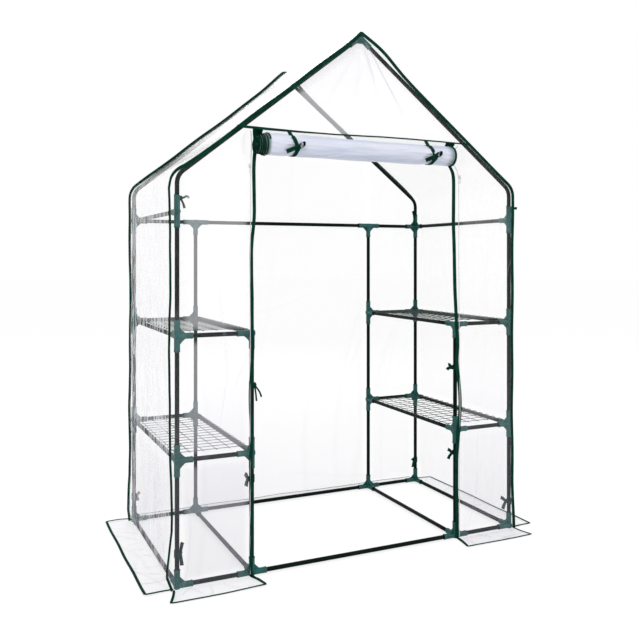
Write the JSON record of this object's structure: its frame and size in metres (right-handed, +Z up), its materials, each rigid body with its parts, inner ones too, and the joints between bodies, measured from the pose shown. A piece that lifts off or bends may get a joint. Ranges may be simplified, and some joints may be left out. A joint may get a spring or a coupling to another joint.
{
  "type": "walk-in greenhouse",
  "caption": "Walk-in grow house: push-fit steel tube frame with gabled roof, wire mesh shelves both sides, clear film cover with ground flaps and a zipped roll-up door.",
  "frame": {"origin": "on the ground at the middle of the footprint, ground flaps included; the tube frame is centred 15 mm behind it", "axes": "+Z up, -Y to the door, +X to the right of somebody looking at the door"},
  "size_m": [1.648, 0.929, 1.9878],
  "materials": {
    "tube": "dark green stoved coating on thin steel tube, slight gloss",
    "connector": "moulded teal green plastic, satin",
    "wire": "dark green coated wire",
    "film": "clear soft film with a faint cool haze, creased from folding",
    "door_film": "many turns of the clear film, pale lavender blue",
    "binding": "bottle green woven tape, sewn on",
    "slider": "dark green coated zinc"
  },
  "bodies": {
    "frame": {"post_outer_front_left": "tube", "post_outer_back_left": "tube", "post_inner_front_left": "tube", "post_inner_back_left": "tube", "rafter_front_left": "tube", "rafter_back_left": "tube", "rail_base_outer_left": "tube", "rail_base_inner_left": "tube", "rail_top_left": "tube", "rail_lower_left_outer": "tube", "rail_lower_left_inner": "tube", "rail_lower_left_front": "tube", "rail_lower_left_back": "tube", "rail_upper_left_outer": "tube", "rail_upper_left_inner": "tube", "rail_upper_left_front": "tube", "rail_upper_left_back": "tube", "post_outer_front_right": "tube", "post_outer_back_right": "tube", "post_inner_front_right": "tube", "post_inner_back_right": "tube", "rafter_front_right": "tube", "rafter_back_right": "tube", "rail_base_outer_right": "tube", "rail_base_inner_right": "tube", "rail_top_right": "tube", "rail_lower_right_outer": "tube", "rail_lower_right_inner": "tube", "rail_lower_right_front": "tube", "rail_lower_right_back": "tube", "rail_upper_right_outer": "tube", "rail_upper_right_inner": "tube", "rail_upper_right_front": "tube", "rail_upper_right_back": "tube", "rail_base_front": "tube", "rail_base_back": "tube", "rail_top_back": "tube", "apex_front": "connector", "apex_back": "connector", "cover_roof": "film", "cover_wall_back": "film", "cover_wall_left": "film", "cover_wall_right": "film", "cover_front_gable": "film", "cover_front_left": "film", "cover_front_right": "film"},
    "shelf_lower_left": {"shelf_lower_left": "wire"},
    "shelf_lower_right": {"shelf_lower_right": "wire"},
    "shelf_upper_left": {"shelf_upper_left": "wire"},
    "shelf_upper_right": {"shelf_upper_right": "wire"},
    "door_carrier": {"door_tie_left": "binding", "door_tie_right": "binding"},
    "door_roll": {"door_roll": "door_film"},
    "zip_left": {"zip_slider_left": "slider"},
    "zip_right": {"zip_slider_right": "slider"},
    "flap_left": {"flap_left": "film"},
    "flap_right": {"flap_right": "film"},
    "flap_front_left": {"flap_front_left": "film"},
    "flap_front_right": {"flap_front_right": "film"},
    "flap_back": {"flap_back": "film"}
  },
  "joints": [
    {"name": "shelf_lower_left_lift", "type": "slide", "parent": "frame", "child": "shelf_lower_left", "axis": [0, 0, 1], "range_m": [0, 0.2]},
    {"name": "shelf_lower_right_lift", "type": "slide", "parent": "frame", "child": "shelf_lower_right", "axis": [0, 0, 1], "range_m": [0, 0.2]},
    {"name": "shelf_upper_left_lift", "type": "slide", "parent": "frame", "child": "shelf_upper_left", "axis": [0, 0, 1], "range_m": [0, 0.2]},
    {"name": "shelf_upper_right_lift", "type": "slide", "parent": "frame", "child": "shelf_upper_right", "axis": [0, 0, 1], "range_m": [0, 0.2]},
    {"name": "door_drop", "type": "slide", "parent": "frame", "child": "door_carrier", "axis": [0, 0, -1], "range_m": [0, 1.42]},
    {"name": "door_unroll", "type": "hinge", "parent": "door_carrier", "child": "door_roll", "pos_m": [0, -0.364, 1.54], "axis": [1, 0, 0], "range_deg": [0, 1942.1]},
    {"name": "zip_left_pull", "type": "slide", "parent": "frame", "child": "zip_left", "axis": [0, 0, -1], "range_m": [0, 1.3]},
    {"name": "zip_right_pull", "type": "slide", "parent": "frame", "child": "zip_right", "axis": [0, 0, -1], "range_m": [0, 1.3]},
    {"name": "flap_left_fold", "type": "hinge", "parent": "frame", "child": "flap_left", "pos_m": [-0.721, 0.015, 0.0015], "axis": [0, 1, 0], "range_deg": [0, 85]},
    {"name": "flap_right_fold", "type": "hinge", "parent": "frame", "child": "flap_right", "pos_m": [0.721, 0.015, 0.0015], "axis": [0, -1, 0], "range_deg": [0, 85]},
    {"name": "flap_front_left_fold", "type": "hinge", "parent": "frame", "child": "flap_front_left", "pos_m": [-0.58, -0.3665, 0.0015], "axis": [-1, 0, 0], "range_deg": [0, 85]},
    {"name": "flap_front_right_fold", "type": "hinge", "parent": "frame", "child": "flap_front_right", "pos_m": [0.58, -0.3665, 0.0015], "axis": [-1, 0, 0], "range_deg": [0, 85]},
    {"name": "flap_back_fold", "type": "hinge", "parent": "frame", "child": "flap_back", "pos_m": [0, 0.3965, 0.0015], "axis": [1, 0, 0], "range_deg": [0, 85]}
  ],
  "couplings": [
    {"joint": "door_unroll", "follows": "door_drop", "rad_per_m": 23.809}
  ]
}
